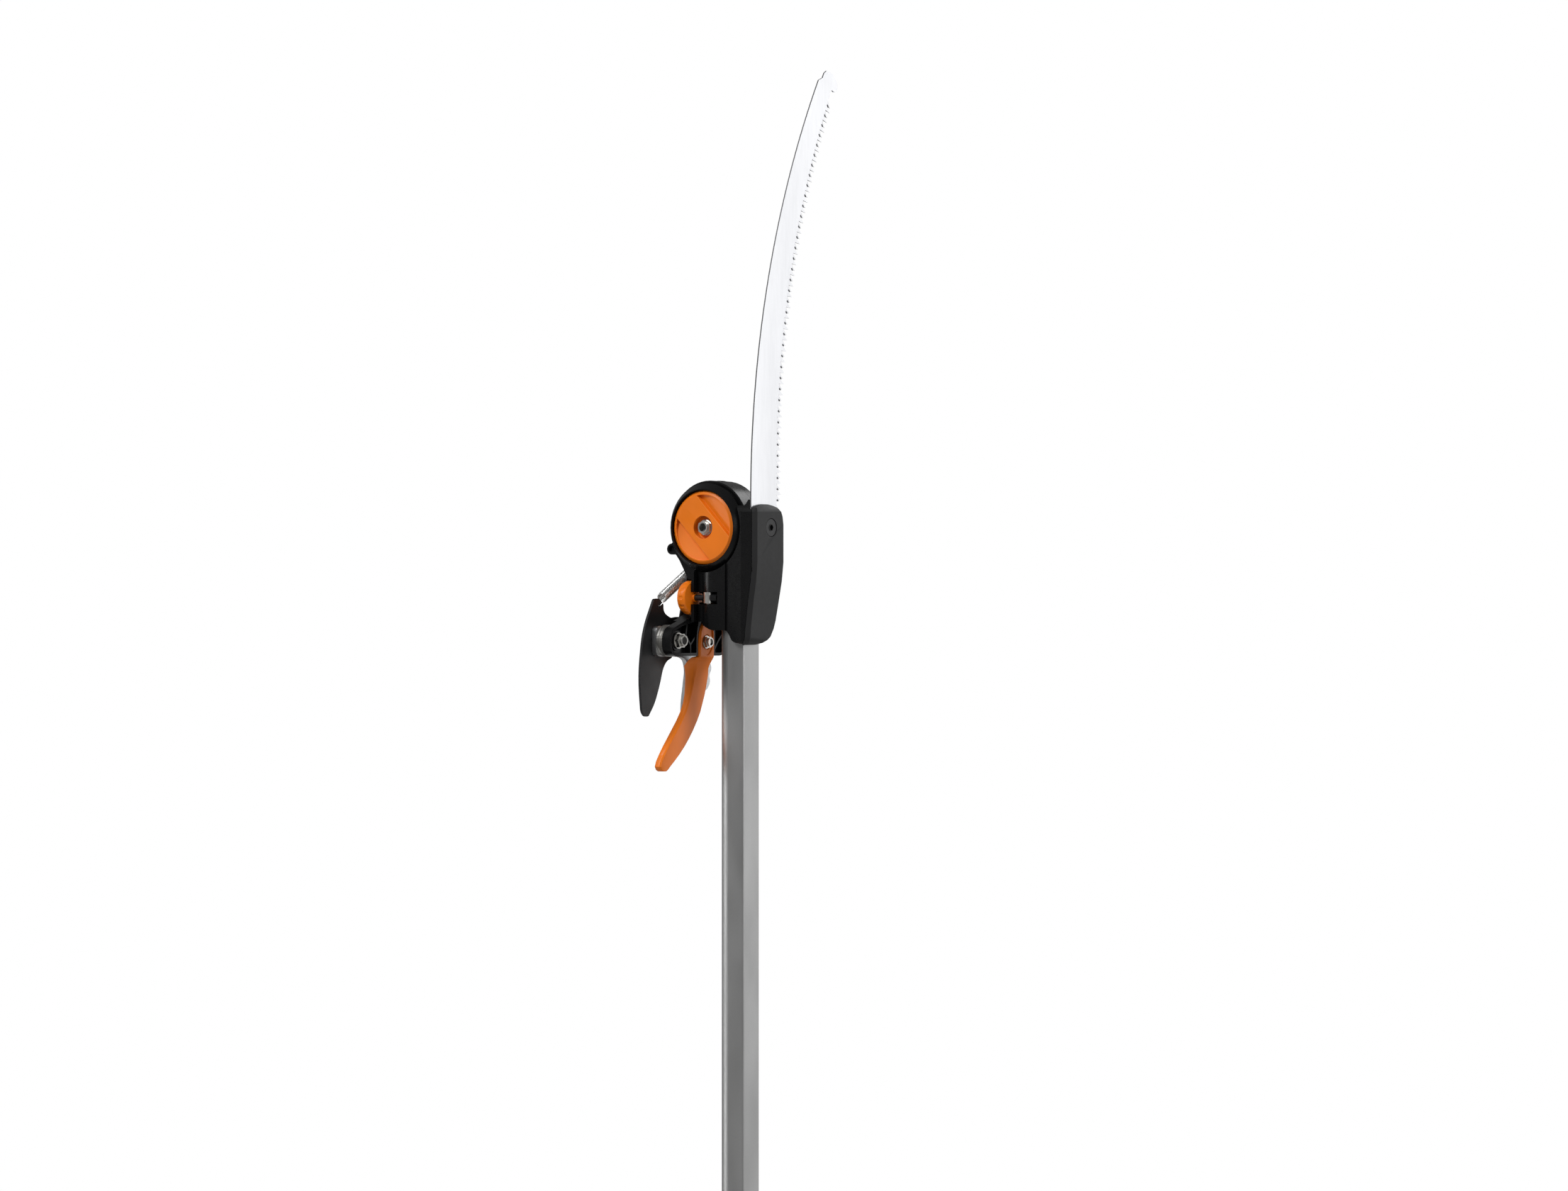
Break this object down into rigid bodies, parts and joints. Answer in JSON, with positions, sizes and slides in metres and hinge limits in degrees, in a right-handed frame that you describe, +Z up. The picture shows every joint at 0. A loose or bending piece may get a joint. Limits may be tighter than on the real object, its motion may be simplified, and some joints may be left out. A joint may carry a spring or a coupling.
{
  "type": "telescoping pole saw",
  "caption": "Telescoping pole with a folding tree-pruner head worked by a sliding handle, and a curved pruning saw in a detachable holder.",
  "frame": {"origin": "middle of the flat foot of the pole's end cap", "axes": "+Z up the pole, -Y the side of the round tilt knob, +X the side of the saw blade"},
  "size_m": [0.0904, 0.1487, 2.5728],
  "materials": {
    "black_plastic": "moulded black nylon with a fine grain",
    "black_steel": "black low-friction coating",
    "orange_plastic": "orange moulded plastic",
    "rubber": "soft black grip",
    "aluminium": "satin drawn tube",
    "steel": "zinc-plated steel",
    "polished_steel": "ground steel",
    "strap_weave": "woven strap"
  },
  "bodies": {
    "lower_pole": {"lower_tube": "aluminium", "end_cap": "rubber", "lower_grip": "rubber", "lock_collar": "black_plastic", "guide_bush": "black_plastic", "lock_pin": "steel", "lock_bolt": "steel"},
    "lever": {"lock_lever": "orange_plastic"},
    "handle": {"handle_front": "orange_plastic", "handle_rear": "orange_plastic", "handle_grip": "rubber", "handle_key": "black_plastic", "handle_screw_1": "steel", "handle_screw_2": "steel"},
    "upper_pole": {"upper_tube": "aluminium", "tube_end_bush": "black_plastic", "neck_housing": "black_plastic", "pulley_cover": "black_plastic", "tilt_bush": "steel", "saw_holder": "black_plastic", "saw_cover": "black_plastic", "cover_screw": "black_steel", "saw_blade": "polished_steel", "clamp_pin": "steel", "swing_bolt": "black_steel", "swing_bolt_end": "black_steel", "strap_pole_run": "strap_weave", "strap_wrap": "strap_weave"},
    "clamp": {"clamp_knob": "orange_plastic"},
    "pulley": {"strap_pulley": "black_plastic"},
    "head": {"swing_arm": "black_plastic", "tilt_bolt": "steel", "hook_plate": "polished_steel", "hook_cover": "orange_plastic", "hook_bolt": "steel", "hook_nut": "steel", "spacer_washer": "steel", "pivot_bolt": "steel", "pivot_nut": "steel", "strap_head_run": "strap_weave", "return_spring": "steel"},
    "knob": {"tilt_knob": "orange_plastic", "tilt_nut": "steel"},
    "blade": {"cutting_blade": "black_steel", "strap_pin": "steel"}
  },
  "joints": [
    {"name": "pole_extend", "type": "slide", "parent": "lower_pole", "child": "upper_pole", "axis": [0, 0, 1], "range_m": [0, 1.45]},
    {"name": "lock_lever_open", "type": "hinge", "parent": "lower_pole", "child": "lever", "pos_m": [0.0256, 0.0135, 1.666], "axis": [0, 0, -1], "range_deg": [0, 100]},
    {"name": "handle_slide", "type": "slide", "parent": "lower_pole", "child": "handle", "axis": [0, 0, -1], "range_m": [0, 0.25], "stiffness_N_per_m": 60, "springref_m": -0.15},
    {"name": "head_tilt", "type": "hinge", "parent": "upper_pole", "child": "head", "pos_m": [-0.0213, 0, 2.23], "axis": [0, 1, 0], "range_deg": [0, 150], "deforming": ["strap_wrap"]},
    {"name": "tilt_knob_turn", "type": "hinge", "parent": "head", "child": "knob", "pos_m": [-0.0213, 0, 2.23], "axis": [0, -1, 0], "range_deg": [0, 360]},
    {"name": "blade_cut", "type": "hinge", "parent": "head", "child": "blade", "pos_m": [-0.0535, -0.0253, 2.146], "axis": [1, 0, 0], "range_deg": [0, 50], "deforming": ["strap_head_run", "return_spring"]},
    {"name": "pulley_spin", "type": "hinge", "parent": "upper_pole", "child": "pulley", "pos_m": [-0.0213, 0, 2.23], "axis": [0, 1, 0], "range_deg": [0, 100]},
    {"name": "clamp_knob_turn", "type": "hinge", "parent": "upper_pole", "child": "clamp", "pos_m": [-0.0363, -0.0116, 2.1778], "axis": [-1, 0, 0], "range_deg": [0, 720]}
  ],
  "couplings": [
    {"joint": "blade_cut", "follows": "handle_slide", "rad_per_m": 3.4},
    {"joint": "pulley_spin", "follows": "handle_slide", "rad_per_m": 6.1}
  ]
}
